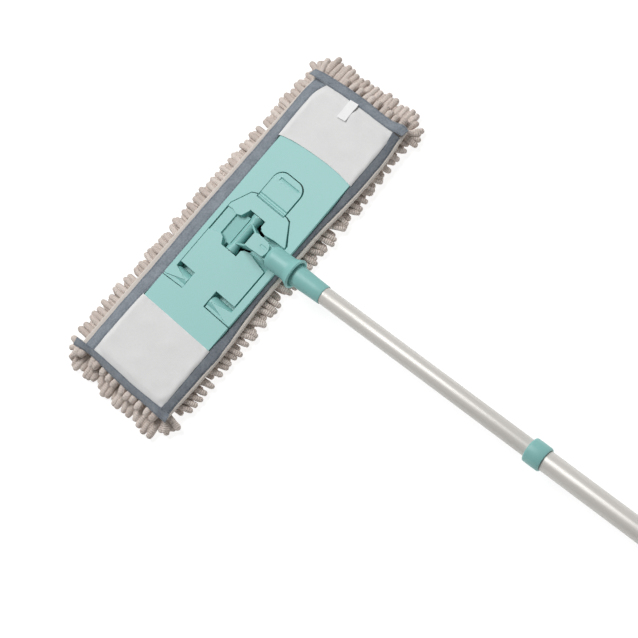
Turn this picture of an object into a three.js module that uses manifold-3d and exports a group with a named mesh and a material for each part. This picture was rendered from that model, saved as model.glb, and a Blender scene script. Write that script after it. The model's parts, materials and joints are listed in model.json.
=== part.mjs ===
// Flat mop: a two-piece folding plate with a foot release, a swivel joint, a telescopic
// steel pole and a chenille pocket pad. Millimetres, +Z up.
// The origin is on the floor under the middle of the plate. +X runs along the plate
// towards the foot release, and the pole lies towards -Y with its end cap on the floor.
import * as THREE from 'three';
import { mergeVertices } from 'three/addons/utils/BufferGeometryUtils.js';
import Module from 'manifold-3d';

const wasm = await Module();
wasm.setup();

// ---- driving dimensions -------------------------------------------------------------

const GAP = 0.3; // between pieces that rest on each other

// heights of the layers, from the floor
const PILE_TOP = 14;
const BACKING_THICK = 1.5;
const PLATE_BASE = PILE_TOP + BACKING_THICK + 2 * GAP;
const PLATE_THICK = 12.4;
const PLATE_TOP = PLATE_BASE + PLATE_THICK;
const SKIN = 3; // top wall of the plates
const RIB = 3; // ribs and rim under the plates

// plate, in plan
const PLATE_FAR = 47.3;
const PLATE_NEAR = -50.1;
const PLATE_LEFT = -186;
const PLATE_RIGHT = 168;
const PLATE_CORNER = 12;
const FAR_ARM = 6.4; // side arms of the window plate
const NEAR_ARM = 8.3;

// fold hinge of the two plates
const FOLD_X = -74.7;
const KNUCKLE_R = 8;
const FOLD_Z = PLATE_TOP - KNUCKLE_R;
const KNUCKLE_GAP_FAR = 0.5;
const KNUCKLE_GAP_NEAR = 1.1;
const NOTCH_RIGHT = -62.8; // right wall of the tongue plate's hinge notches
const NECK_FAR = 19.2;
const NECK_NEAR = -13.2;
const HINGE_PIN_R = 2;
const FOLD_HALF_DEG = 31; // half of the wedge left free under the hinge

// tongue
const SEAM_FAR = 0.45; // visible gaps round the tongue and the release tab
const SEAM_NEAR = 1.5;
const SEAM_FRONT = 0.9;
const TONGUE_FAR = PLATE_FAR - FAR_ARM - SEAM_FAR;
const TONGUE_NEAR = PLATE_NEAR + NEAR_ARM + SEAM_NEAR;
const TONGUE_FRONT = 41;

// foot release tab
const TAB_Y = 3;
const TAB_HALF = 19.3;
const TAB_END = 76.8;
const TAB_CORNER = 12;
const TAB_THICK = 3.4;
const TAB_START = 39.3;

// tilt joint of the handle: a barrel on an axle in the tongue's recess
const BARREL_X = 0.7;
const BARREL_Y = 6.5;
const BARREL_Z = PLATE_TOP - 5.6;
const BARREL_HALF = 22.6;
const BARREL_END_R = 6.6;
const BARREL_MID_R = 5.4;
const AXLE_R = 2;
const RECESS_HALF = BARREL_HALF + 0.6;

// swing joint: a pin through the yoke's cheeks and the socket's lug
const SWING_Y = -30;
const SWING_Z = 47.5;
const CHEEK_OUT = 8.4; // outer face of each cheek, from the pole's axis
const CHEEK_IN = 5.2;
const CHEEK_END_R = 10.9;
const LUG_HALF = 4.9;
const LUG_R = 8;
const SWING_PIN_R = 2.5;
const REST_SWING_DEG = 3.1;

// handle, as distances along its axis from the swing pin
const SOCKET_START = 11.4;
const SOCKET_R = 12.7;
const FLARE_START = 37;
const FLARE_R = 16.8;
const SOCKET_END = 48;
const SLEEVE_END = 85;
const INNER_START = 56;
const INNER_END = 655;
const COLLAR_START = 346.5;
const COLLAR_END = 365.5;
const OUTER_START = 352;
const OUTER_END = 984;
const CAP_START = 952;
const CAP_END = 1006;
const EYE_END = 1044;

const INNER_R = 9.5;
const OUTER_R = 11;
const TUBE_WALL = 0.8;
const COLLAR_R = 13.2;
const CAP_R = 13;
const POLE_SLOPE = Math.asin((SWING_Z - CAP_R) / CAP_END);
const ROUND = 32; // sides of the round pieces

// pad
const PILE_LEFT = -222;
const PILE_RIGHT = 210;
const PILE_FAR = 95;
const PILE_NEAR = -73;
const PAD_LEFT = -199;
const PAD_FAR = 67;
const PAD_NEAR = -59;
const TAPE_HEIGHT = 9;
const END_TAPE_HEIGHT = 6;
const POCKET_THICK = 1.2;
const POCKET_LEFT_EDGE = -114;

// ---- materials ----------------------------------------------------------------------

function finish(color, roughness, metalness) {
  return new THREE.MeshStandardMaterial({ color, roughness, metalness });
}

const teal = finish(0x96c6c2, 0.45, 0);
const steel = finish(0xd5d2cd, 0.25, 0.9);
const zinc = finish(0x9a9c9e, 0.35, 0.9);
const darkPlastic = finish(0x4a4e50, 0.5, 0);
const pile = finish(0xc8bcb4, 1, 0);
const cloth = finish(0xe4e4e4, 0.9, 0);
const greyTape = finish(0x7d848e, 0.9, 0);
const beigeCloth = finish(0xdad2cb, 0.95, 0);

// ---- solids -------------------------------------------------------------------------

/** Signed volume of an indexed geometry. */
function signedVolume(geometry) {
  const p = geometry.attributes.position;
  const index = geometry.index;
  const a = new THREE.Vector3();
  const b = new THREE.Vector3();
  const c = new THREE.Vector3();
  let sum = 0;
  for (let i = 0; i < index.count; i += 3) {
    a.fromBufferAttribute(p, index.getX(i));
    b.fromBufferAttribute(p, index.getX(i + 1));
    c.fromBufferAttribute(p, index.getX(i + 2));
    sum += a.dot(b.cross(c)) / 6;
  }
  return sum;
}

/** A geometry as a manifold solid, with its faces pointing out. */
function solid(source) {
  const bare = source.clone();
  bare.deleteAttribute('normal');
  bare.deleteAttribute('uv');
  const merged = mergeVertices(bare, 1e-4);
  const triangles = Uint32Array.from(merged.index.array);
  if (signedVolume(merged) < 0) {
    for (let i = 0; i < triangles.length; i += 3) {
      [triangles[i], triangles[i + 1]] = [triangles[i + 1], triangles[i]];
    }
  }
  return new wasm.Manifold(new wasm.Mesh({
    numProp: 3,
    vertProperties: Float32Array.from(merged.attributes.position.array),
    triVerts: triangles,
  }));
}

/** A manifold solid as a geometry. */
function geometryOf(body) {
  const mesh = body.getMesh();
  const positions = new Float32Array(mesh.numVert * 3);
  for (let i = 0; i < mesh.numVert; i += 1) {
    for (let k = 0; k < 3; k += 1) {
      positions[3 * i + k] = mesh.vertProperties[i * mesh.numProp + k];
    }
  }
  const geometry = new THREE.BufferGeometry();
  geometry.setAttribute('position', new THREE.BufferAttribute(positions, 3));
  geometry.setIndex(new THREE.BufferAttribute(Uint32Array.from(mesh.triVerts), 1));
  geometry.computeVertexNormals();
  return geometry;
}

function join(...bodies) {
  return bodies.reduce((whole, next) => whole.add(next));
}

function cut(body, ...tools) {
  return tools.reduce((rest, tool) => rest.subtract(tool), body);
}

/** A box between two opposite corners. */
function block([x0, y0, z0], [x1, y1, z1]) {
  const box = new THREE.BoxGeometry(x1 - x0, y1 - y0, z1 - z0);
  box.translate((x0 + x1) / 2, (y0 + y1) / 2, (z0 + z1) / 2);
  return solid(box);
}

/** A plan outline extruded from z0 to z1. */
function slab(shape, z0, z1, curveSegments = 8) {
  const body = new THREE.ExtrudeGeometry(shape, {
    depth: z1 - z0,
    bevelEnabled: false,
    curveSegments,
  });
  body.translate(0, 0, z0);
  return solid(body);
}

/** A side outline, given as [y, z] points, extruded across X from x0 to x1. */
function sideSlab(points, x0, x1) {
  const body = new THREE.ExtrudeGeometry(outline(points), {
    depth: x1 - x0,
    bevelEnabled: false,
  });
  // the outline's own X and Y become Y and Z, and its depth becomes X
  body.applyMatrix4(new THREE.Matrix4().set(
    0, 0, 1, x0,
    1, 0, 0, 0,
    0, 1, 0, 0,
    0, 0, 0, 1,
  ));
  return solid(body);
}

/** A front outline, given as [x, z] points, extruded along Y from y0 to y1. */
function frontSlab(points, y0, y1) {
  const body = new THREE.ExtrudeGeometry(outline(points), {
    depth: y1 - y0,
    bevelEnabled: false,
  });
  body.applyMatrix4(new THREE.Matrix4().set(
    1, 0, 0, 0,
    0, 0, -1, y1,
    0, 1, 0, 0,
    0, 0, 0, 1,
  ));
  return solid(body);
}

function outline(points) {
  return new THREE.Shape(points.map(([x, y]) => new THREE.Vector2(x, y)));
}

/** A turned piece about local Y. The profile is [radius, y] points round the section. */
function turned(profile, segments = ROUND) {
  const onAxis = profile[0][0] === 0;
  const closed = onAxis ? profile : [...profile, profile[0]];
  return solid(new THREE.LatheGeometry(closed.map(([r, y]) => new THREE.Vector2(r, y)), segments));
}

/** A round bar along X, Y or Z between two places on that axis. */
function bar(axis, radius, from, to, [x, y, z] = [0, 0, 0], segments = 24) {
  const rod = new THREE.CylinderGeometry(radius, radius, to - from, segments);
  rod.translate(0, (from + to) / 2, 0);
  if (axis === 'x') rod.rotateZ(-Math.PI / 2);
  if (axis === 'z') rod.rotateX(Math.PI / 2);
  rod.translate(x, y, z);
  return solid(rod);
}

/** A rectangle with rounded corners, in plan. */
function roundedRect(x0, y0, x1, y1, r) {
  const shape = new THREE.Shape();
  shape.moveTo(x0 + r, y0);
  shape.lineTo(x1 - r, y0);
  shape.absarc(x1 - r, y0 + r, r, -Math.PI / 2, 0, false);
  shape.lineTo(x1, y1 - r);
  shape.absarc(x1 - r, y1 - r, r, 0, Math.PI / 2, false);
  shape.lineTo(x0 + r, y1);
  shape.absarc(x0 + r, y1 - r, r, Math.PI / 2, Math.PI, false);
  shape.lineTo(x0, y0 + r);
  shape.absarc(x0 + r, y0 + r, r, Math.PI, 1.5 * Math.PI, false);
  return shape;
}

// ---- plates -------------------------------------------------------------------------

/** Tongue outline from x0 to the front, grown by a gap on the far side, near side and front. */
function tongueOutline(x0, far, near, front) {
  return outline([
    [x0, TONGUE_NEAR - near],
    [17.2 + near, TONGUE_NEAR - near],
    [39 + near, -24.9 - near / 3],
    [TONGUE_FRONT + front, -19.8 - near / 3],
    [TONGUE_FRONT + front, 24.2],
    [38.6 + far, 29.6 + far],
    [16.5 + far, TONGUE_FAR + far],
    [x0, TONGUE_FAR + far],
  ]);
}

/** Outline of the release tab from x0, grown by a gap on the far side, near side and end. */
function tabOutline(x0, far, near, front) {
  const shape = new THREE.Shape();
  const x1 = TAB_END + front;
  const low = TAB_Y - TAB_HALF - near;
  const high = TAB_Y + TAB_HALF + far;
  const r = TAB_CORNER;
  shape.moveTo(x0, low);
  shape.lineTo(x1 - r, low);
  shape.absarc(x1 - r, low + r, r, -Math.PI / 2, 0, false);
  shape.lineTo(x1, high - r);
  shape.absarc(x1 - r, high - r, r, 0, Math.PI / 2, false);
  shape.lineTo(x0, high);
  return shape;
}

/** Rib pockets open at the underside, as a grid of boxes between x0 and x1. */
function ribPockets(x0, x1, y0, y1, columns, rows) {
  const pockets = [];
  const width = (x1 - x0 - RIB * (columns - 1)) / columns;
  const depth = (y1 - y0 - RIB * (rows - 1)) / rows;
  for (let i = 0; i < columns; i += 1) {
    for (let j = 0; j < rows; j += 1) {
      const x = x0 + i * (width + RIB);
      const y = y0 + j * (depth + RIB);
      pockets.push(block([x, y, PLATE_BASE - 1], [x + width, y + depth, PLATE_TOP - SKIN]));
    }
  }
  return pockets;
}

/**
 * One hinge knuckle from its inner end to the plate's long edge: a round bar whose crest is
 * flush with the plate, with a flat facet on top that narrows to a point at the inner end.
 * Its shoulder beside the strip follows the strip's edge.
 */
function knuckle(inner, edge, shoulderInner, shoulderEdge) {
  const y0 = Math.min(inner, edge);
  const y1 = Math.max(inner, edge);
  const way = Math.sign(edge);
  const round = bar('y', KNUCKLE_R, y0, y1, [FOLD_X, 0, FOLD_Z], 40);
  const facet = slab(outline([
    [FOLD_X - 7.4, edge],
    [FOLD_X + 6.6, edge],
    [FOLD_X + 6.6, edge - way * 4],
    [FOLD_X, inner + way * 2],
    [FOLD_X - 7.4, edge - way * 3],
  ]), FOLD_Z, PLATE_TOP);
  const shoulder = slab(outline([
    [FOLD_X - 4, inner],
    [FOLD_X - 4, edge],
    [FOLD_X - shoulderEdge, edge],
    [FOLD_X - shoulderInner, inner],
  ]), FOLD_Z + 1, PLATE_TOP - 1.3);
  const flush = block([FOLD_X - 20, y0 - 1, PLATE_BASE], [FOLD_X + 20, y1 + 1, PLATE_TOP]);
  return join(round, facet, shoulder).intersect(flush);
}

function windowPlate() {
  const right = roundedRect(FOLD_X - 40, PLATE_NEAR, PLATE_RIGHT, PLATE_FAR, PLATE_CORNER);
  const armsFrom = block(
    [FOLD_X, PLATE_NEAR - 1, PLATE_BASE - 1],
    [PLATE_RIGHT + 1, PLATE_FAR + 1, PLATE_TOP + 1],
  );
  const body = slab(right, PLATE_BASE, PLATE_TOP).intersect(armsFrom);
  const knuckles = [
    knuckle(NECK_FAR + KNUCKLE_GAP_FAR, PLATE_FAR, 7.9, 9.7),
    knuckle(NECK_NEAR - KNUCKLE_GAP_NEAR, PLATE_NEAR, 7.7, 7.9),
  ];
  const low = PLATE_BASE - 1;
  const high = PLATE_TOP + 1;
  const window = join(
    slab(tongueOutline(FOLD_X - 60, SEAM_FAR, SEAM_NEAR, SEAM_FRONT), low, high),
    slab(tabOutline(TONGUE_FRONT - 5, SEAM_FAR, SEAM_NEAR, SEAM_FRONT), low, high),
  );
  const pinBore = bar('y', HINGE_PIN_R + 0.3, -60, 60, [FOLD_X, 0, FOLD_Z]);
  const pockets = [
    ...ribPockets(TAB_END + 5, 122, PLATE_NEAR + RIB, PLATE_FAR - RIB, 1, 4),
    ...ribPockets(122 + RIB, PLATE_RIGHT - 6, PLATE_NEAR + 8, PLATE_FAR - 8, 1, 3),
  ];
  return cut(join(cut(body, window), ...knuckles), pinBore, ...pockets);
}

/** Recess round the barrel: a notch for its ends and a waisted trough for the yoke. */
function recess() {
  const top = PLATE_TOP + 1;
  const shelf = PLATE_BASE + 1.2;
  const under = PLATE_BASE - 1;
  const x0 = BARREL_X - RECESS_HALF;
  const x1 = BARREL_X + RECESS_HALF;
  const centre = 17.5;
  const farTrough = outline([
    [-22.4, 17.6], [-15.8, 21.6], [-13.2, 27.5], [-19.5, 43],
    [12.4, 43], [13, 34], [11.2, 27], [13.5, 21.5], [22.4, 17.6],
    [centre, 13.8], [-centre, 13.8],
  ]);
  const nearTrough = outline([
    [-15.5, -4], [-12.6, -7.5], [-10.4, -14], [-13, -23], [-17, -43],
    [15.5, -43], [14.8, -25], [12.9, -13.5], [14.2, -8], [17.5, -4],
  ]);
  const farFloor = sideSlab([
    [13, PLATE_TOP - 7],
    [27.7, PLATE_TOP - 4.6],
    [27.9, PLATE_TOP - 2.6],
    [43, PLATE_TOP - 1.6],
    [43, top],
    [13, top],
  ], -30, 30);
  const nearFloor = sideSlab([
    [-43, PLATE_TOP - 3.4],
    [-26, PLATE_TOP - 8.6],
    [-3, shelf],
    [-3, top],
    [-43, top],
  ], -30, 30);
  return [
    block([x0, -4.4, shelf], [x1, 13.8, top]),
    block([x0, 13, shelf], [-centre, 17.6, top]),
    block([centre, 13, shelf], [x1, 17.6, top]),
    block([x0, -1.2, under], [x1, 12.8, top]),
    block([-12, -9, under], [14, 0, top]),
    slab(farTrough, under, top).intersect(farFloor),
    slab(nearTrough, under, top).intersect(nearFloor),
  ];
}

/** Strip of the tongue plate beyond the fold, whose far notch edge runs slightly askew. */
function strip(end) {
  const plan = roundedRect(PLATE_LEFT, PLATE_NEAR, FOLD_X + 40, PLATE_FAR, PLATE_CORNER);
  const body = slab(plan, PLATE_BASE, PLATE_TOP);
  const keep = slab(outline([
    [PLATE_LEFT - 1, PLATE_NEAR - 1],
    [end - 0.2, PLATE_NEAR - 1],
    [end, NECK_NEAR],
    [end, NECK_FAR],
    [end, NECK_FAR],
    [end - 1.9, PLATE_FAR + 1],
    [PLATE_LEFT - 1, PLATE_FAR + 1],
  ]), PLATE_BASE - 1, PLATE_TOP + 1);
  return body.intersect(keep);
}

function tonguePlate() {
  const stripEnd = FOLD_X - KNUCKLE_R - 0.5;
  const ledgeStart = 7.75; // tucked in under the knuckles' round sides
  const ledgeTop = PLATE_BASE + 1.2;
  const neck = block([stripEnd - 1, NECK_NEAR, PLATE_BASE], [NOTCH_RIGHT + 1, NECK_FAR, PLATE_TOP]);
  const tongue = slab(tongueOutline(NOTCH_RIGHT, 0, 0, 0), PLATE_BASE, PLATE_TOP);
  const ledges = [
    block([FOLD_X + ledgeStart, NECK_FAR - 1, PLATE_BASE], [NOTCH_RIGHT + 1, TONGUE_FAR, ledgeTop]),
    block([FOLD_X + ledgeStart, TONGUE_NEAR, PLATE_BASE], [NOTCH_RIGHT + 1, NECK_NEAR + 1, ledgeTop]),
    block([stripEnd - 4, NECK_FAR - 1, PLATE_BASE], [FOLD_X - ledgeStart, PLATE_FAR, ledgeTop]),
    block([stripEnd - 2, PLATE_NEAR, PLATE_BASE], [FOLD_X - ledgeStart, NECK_NEAR + 1, ledgeTop]),
  ];
  const tabSeat = block(
    [TAB_START - GAP, TAB_Y - TAB_HALF - 0.6, PLATE_TOP - TAB_THICK - 1.6],
    [TONGUE_FRONT + 1, TAB_Y + TAB_HALF + 0.4, PLATE_TOP + 1],
  );
  const pinBore = bar('y', HINGE_PIN_R + 0.3, NECK_NEAR - 1, NECK_FAR + 1, [FOLD_X, 0, FOLD_Z]);
  const axleBore = bar('x', AXLE_R + 0.3, -27, 28.4, [0, BARREL_Y, BARREL_Z]);
  const pockets = [
    ...ribPockets(PLATE_LEFT + 6, stripEnd - 5, PLATE_NEAR + 8, PLATE_FAR - 8, 3, 3),
    ...ribPockets(NOTCH_RIGHT + RIB, -32, TONGUE_NEAR + RIB, TONGUE_FAR - RIB, 1, 3),
    block([28.4 + RIB, -18, PLATE_BASE - 1], [TAB_START - 3, 24, PLATE_TOP - TAB_THICK - 3]),
  ];
  const body = join(strip(stripEnd), neck, tongue, ...ledges);
  return cut(body, ...recess(), tabSeat, pinBore, axleBore, ...pockets);
}

/** Foot release: a thin plate with a grooved hinge band and a dished end for the foot. */
function releaseTab() {
  const base = PLATE_TOP - TAB_THICK;
  const top = PLATE_TOP + 1;
  const plate = slab(tabOutline(TAB_START, 0, 0, 0), base, PLATE_TOP);
  const sides = [TAB_Y - 40, TAB_Y + 40];
  const bands = [
    frontSlab([[38, PLATE_TOP - 0.9], [40, PLATE_TOP - 0.9], [40.8, top], [38, top]], ...sides),
    frontSlab([
      [42, PLATE_TOP],
      [42.6, PLATE_TOP - 1],
      [44.6, PLATE_TOP - 1],
      [45.6, PLATE_TOP],
      [45.6, top],
      [42, top],
    ], ...sides),
  ];
  const dish = frontSlab([
    [65.5, PLATE_TOP],
    [69.9, PLATE_TOP - 1.5],
    [70.6, top],
    [65.5, top],
  ], TAB_Y - 14.6, TAB_Y + 11.6);
  const rib = block([57, TAB_Y - 1.5, base - 4], [72, TAB_Y + 1.5, PLATE_TOP - 2.4]);
  return join(cut(plate, ...bands, dish), rib);
}

// ---- yoke ---------------------------------------------------------------------------

function barrelSleeve() {
  const shell = turned([
    [0, -BARREL_HALF],
    [BARREL_END_R, -BARREL_HALF],
    [BARREL_END_R, -BARREL_HALF + 3.5],
    [BARREL_MID_R, -BARREL_HALF + 7],
    [BARREL_MID_R, BARREL_HALF - 7],
    [BARREL_END_R, BARREL_HALF - 3.5],
    [BARREL_END_R, BARREL_HALF],
    [0, BARREL_HALF],
  ]);
  return shell.rotate([0, 0, 90]).translate([BARREL_X, BARREL_Y, BARREL_Z]);
}

/** One arm of the yoke: an upright web that rises from the barrel to the cheek block. */
function yokeArm(side) {
  const foot = new THREE.Vector2(BARREL_X + side * 12.6, BARREL_Y - 1);
  const head = new THREE.Vector2(side * 7.2, -19);
  const along = head.clone().sub(foot);
  const length = along.length();
  const profile = outline([
    [-3, BARREL_Z - 2],
    [-3, BARREL_Z + 4.6],
    [2, BARREL_Z + 6.4],
    [length, SWING_Z + CHEEK_OUT],
    [length, SWING_Z - CHEEK_OUT],
    [length * 0.45, BARREL_Z + 2],
    [4, BARREL_Z - 4.5],
  ]);
  const web = new THREE.ExtrudeGeometry(profile, { depth: 2, bevelEnabled: false });
  web.translate(0, 0, -1);
  // the profile's X runs along the arm and its Y stands up
  const dir = along.normalize();
  web.applyMatrix4(new THREE.Matrix4().set(
    dir.x, 0, dir.y, foot.x,
    dir.y, 0, -dir.x, foot.y,
    0, 1, 0, 0,
    0, 0, 0, 1,
  ));
  return solid(web);
}

/** Carries a solid from the swing pin's own frame to the mop's frame. */
function atSwing(body) {
  const slope = THREE.MathUtils.radToDeg(POLE_SLOPE);
  return body.rotate([-slope, 0, 180]).translate([0, SWING_Y, SWING_Z]);
}

/**
 * Plan outline of the cheeks about the pin. They taper on the side away from the release
 * tab, and their rounded end stays inside the swing of the socket's shoulder.
 */
function cheekOutline() {
  const shape = new THREE.Shape();
  shape.moveTo(8.2, -14);
  shape.lineTo(7.8, -9);
  shape.lineTo(6.4, 8.6);
  shape.absarc(0, 0, CHEEK_END_R, 0.93, 2.3, false);
  shape.lineTo(-9.1, 4);
  shape.lineTo(-9.7, -9);
  shape.lineTo(-7.8, -14);
  return shape;
}

function yoke() {
  const cheeks = slab(cheekOutline(), -CHEEK_OUT, CHEEK_OUT, 5);
  const lugSlot = block([-20, -10, -CHEEK_IN], [20, 20, CHEEK_IN]);
  const groove = block([-3.4, 0, CHEEK_OUT - 0.4], [-1, 8, CHEEK_OUT + 1]);
  const pinBore = bar('z', SWING_PIN_R + 0.3, -20, CHEEK_OUT - 1.4);
  const head = atSwing(cut(cheeks, lugSlot, pinBore, groove));
  const axleBore = bar('x', AXLE_R + 0.3, -30, 30, [0, BARREL_Y, BARREL_Z]);
  return cut(join(barrelSleeve(), yokeArm(-1), yokeArm(1), head), axleBore);
}

function swingPin() {
  const shank = bar('z', SWING_PIN_R, -CHEEK_OUT - 1, CHEEK_OUT - 1.8);
  const head = bar('z', 4.4, -CHEEK_OUT - 1.8, -CHEEK_OUT - GAP);
  return join(shank, head);
}

// ---- handle, in its own frame: local +Y runs away from the swing pin ------------------

/** Swing lug, domed shoulder and flared socket that takes the pole's ferrule. */
function socket() {
  const shell = turned([
    [0, SOCKET_START],
    [7.6, SOCKET_START],
    [9.8, SOCKET_START + 1],
    [11.6, SOCKET_START + 3],
    [12.5, SOCKET_START + 5.6],
    [SOCKET_R, SOCKET_START + 9],
    [SOCKET_R, FLARE_START],
    [SOCKET_R + 1.2, FLARE_START + 4],
    [FLARE_R - 1, FLARE_START + 8],
    [FLARE_R, SOCKET_END - 1.6],
    [FLARE_R - 0.8, SOCKET_END],
    [14.2, SOCKET_END],
    [12.2, SOCKET_END - 4],
    [10.2, SOCKET_END - 8],
    [10.2, 24],
    [0, 24],
  ]);
  const lugBar = block([-LUG_R, 0, -LUG_HALF], [LUG_R, SOCKET_START + 3, LUG_HALF]);
  const lugEye = bar('z', LUG_R, -LUG_HALF, LUG_HALF);
  const bore = bar('z', SWING_PIN_R + 0.3, -20, 20);
  return cut(join(shell, lugBar, lugEye), bore);
}

/** Moulded ferrule on the pole's end: a stud inside the socket and a tapered sleeve. */
function ferrule() {
  const thread = [];
  for (let y = 27; y < 39; y += 4) {
    thread.push([9.1, y], [9.8, y + 1], [9.8, y + 2], [9.1, y + 3]);
  }
  return turned([
    [0, 25],
    [8.6, 25],
    ...thread,
    [9.1, 41],
    [11.4, 45.5],
    [11.5, 50],
    [10.3, SLEEVE_END - 1],
    [10, SLEEVE_END],
    [INNER_R + GAP, SLEEVE_END],
    [INNER_R + GAP, INNER_START - GAP],
    [0, INNER_START - GAP],
  ]);
}

function tube(radius, from, to) {
  const inside = radius - TUBE_WALL;
  return turned([[radius, from], [radius, to], [inside, to], [inside, from]]);
}

/** End plug of the inner tube, with the off-centre spindle that wedges the lock ring. */
function lockSpindle() {
  const plug = turned([
    [0, INNER_END - 24],
    [INNER_R - TUBE_WALL - GAP, INNER_END - 24],
    [INNER_R - TUBE_WALL - GAP, INNER_END + GAP],
    [INNER_R, INNER_END + GAP],
    [INNER_R, INNER_END + 4],
    [0, INNER_END + 4],
  ]);
  const spindle = bar('y', 5, INNER_END + 3, INNER_END + 27, [1.2, 0, 0]);
  const stop = turned([[0, INNER_END + 26], [8.6, INNER_END + 26], [8.6, INNER_END + 29], [0, INNER_END + 29]]);
  return join(plug, spindle, stop);
}

/** Lock ring: a split ring round the spindle that grips the outer tube. */
function lockRing() {
  const ring = turned([[9.9, INNER_END + 4.5], [9.9, INNER_END + 25.5], [7, INNER_END + 25.5], [7, INNER_END + 4.5]]);
  const split = block([-12, INNER_END, -1.2], [-3, INNER_END + 30, 1.2]);
  return cut(ring, split);
}

function collar() {
  return turned([
    [COLLAR_R - 0.8, COLLAR_START],
    [COLLAR_R, COLLAR_START + 1],
    [COLLAR_R, COLLAR_END - 0.8],
    [COLLAR_R - 0.6, COLLAR_END],
    [OUTER_R + GAP, COLLAR_END],
    [OUTER_R + GAP, OUTER_START - GAP],
    [INNER_R + GAP, OUTER_START - GAP],
    [INNER_R + GAP, COLLAR_START],
  ]);
}

/** End cap over the outer tube, with a flat eye to hang the mop by. */
function endCap() {
  const shell = turned([
    [CAP_R - 0.8, CAP_START],
    [CAP_R, CAP_START + 1],
    [CAP_R, CAP_END],
    [CAP_R - 2, CAP_END + 5],
    [CAP_R - 6, CAP_END + 9],
    [0, CAP_END + 10],
    [0, OUTER_END + GAP],
    [OUTER_R + GAP, OUTER_END + GAP],
    [OUTER_R + GAP, CAP_START],
  ]);
  const eye = join(
    block([-9, CAP_END, -4], [9, EYE_END - 9, 4]),
    bar('z', 9, -4, 4, [0, EYE_END - 9, 0]),
  );
  const hole = bar('z', 5, -10, 10, [0, EYE_END - 12, 0]);
  const slot = block([-5, CAP_END + 15, -10], [5, EYE_END - 12, 10]);
  return cut(join(shell, eye), hole, slot);
}

// ---- pad ----------------------------------------------------------------------------

/** Keeps one side of the wedge left free under the fold hinge. */
function padSide(side) {
  const slope = Math.tan(THREE.MathUtils.degToRad(FOLD_HALF_DEG));
  const lowZ = -1;
  const farX = side < 0 ? PILE_LEFT - 10 : PILE_RIGHT + 10;
  const points = [
    [FOLD_X + side * GAP, 40],
    [FOLD_X + side * GAP, FOLD_Z],
    [FOLD_X + side * (GAP + slope * (FOLD_Z - lowZ)), lowZ],
    [farX, lowZ],
    [farX, 40],
  ];
  return frontSlab(points, PILE_NEAR - 10, PILE_FAR + 10);
}

function pileBlock(side) {
  const whole = slab(roundedRect(PILE_LEFT, PILE_NEAR, PILE_RIGHT, PILE_FAR, 30), 0, PILE_TOP, 5);
  return whole.intersect(padSide(side));
}

function backing(side) {
  const sheet = outline([[-188, -49.8], [172, -49.8], [172, 48], [-188, 48]]);
  return slab(sheet, PILE_TOP + GAP, PLATE_BASE - GAP).intersect(padSide(side));
}

/** Binding tape along one edge of the pad, as a flat strip given in plan. */
function tape(points, side, height) {
  return slab(outline(points), PILE_TOP + GAP, PILE_TOP + GAP + height).intersect(padSide(side));
}

const tapeFar = [[-188, 49.3], [172, 49.3], [172, PAD_FAR], [-188, PAD_FAR]];
const tapeNear = [[-188, PAD_NEAR], [178, PAD_NEAR], [178, -50.5], [-188, -50.5]];
const tapeLeft = [[PAD_LEFT, -60], [-188.5, -60], [-188.5, 70], [PAD_LEFT, 70]];
const tapeRight = [[179, -60], [193, -60], [183, 70], [172.5, 70], [172.5, 20]];

/** Mouth of the right-hand pocket, bowed towards the release tab. */
function bowedMouth() {
  const shape = new THREE.Shape();
  shape.moveTo(100, 60);
  shape.quadraticCurveTo(116, -8, 106, -60);
  shape.lineTo(-40, -60);
  shape.lineTo(-40, 60);
  return slab(shape, 0, 60, 14);
}

/** A pocket: a top sheet and three walls over one end of the plate. */
function pocketShell(x0, x1, mouth) {
  const far = PLATE_FAR + GAP;
  const near = PLATE_NEAR - GAP;
  const top = PLATE_TOP + GAP;
  const left = mouth > 0 ? x0 : x0 - POCKET_THICK;
  const right = mouth > 0 ? x1 + POCKET_THICK : x1;
  const outer = block([left, near - POCKET_THICK, PLATE_BASE], [right, far + POCKET_THICK, top + POCKET_THICK]);
  const inner = block([x0 - (mouth > 0 ? 9 : 0), near, PLATE_BASE - 1], [x1 + (mouth > 0 ? 0 : 9), far, top]);
  return cut(outer, inner);
}

/** Walls stand clear of the tapes, so the pocket keeps only what is above them. */
function pocket(side) {
  const aboveTape = block([-300, -100, PILE_TOP + TAPE_HEIGHT + 2 * GAP], [300, 100, 60]);
  if (side < 0) {
    return pocketShell(PLATE_LEFT - GAP, POCKET_LEFT_EDGE, -1).intersect(aboveTape);
  }
  return cut(pocketShell(98, PLATE_RIGHT + GAP, 1), bowedMouth()).intersect(aboveTape);
}

function label() {
  const top = PLATE_TOP + GAP + POCKET_THICK + GAP;
  return block([150, 0.5, top], [169, 12, top + 0.6]);
}

// ---- assembly -----------------------------------------------------------------------

const mop = new THREE.Group();

/** Adds a solid to a group as a named mesh. */
function add(group, name, body, material) {
  const mesh = new THREE.Mesh(geometryOf(body), material);
  mesh.name = name;
  group.add(mesh);
}

add(mop, 'window_plate', windowPlate(), teal);
add(mop, 'tongue_plate', tonguePlate(), teal);
add(mop, 'release_tab', releaseTab(), teal);
add(mop, 'hinge_pin_far', bar('y', HINGE_PIN_R, NECK_FAR - 12, PLATE_FAR - 4, [FOLD_X, 0, FOLD_Z]), zinc);
add(mop, 'hinge_pin_near', bar('y', HINGE_PIN_R, PLATE_NEAR + 4, NECK_NEAR + 12, [FOLD_X, 0, FOLD_Z]), zinc);
add(mop, 'tilt_axle', bar('x', AXLE_R, -26.5, 27.9, [0, BARREL_Y, BARREL_Z]), zinc);
add(mop, 'yoke', yoke(), teal);
add(mop, 'swing_pin', atSwing(swingPin()), zinc);

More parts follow.
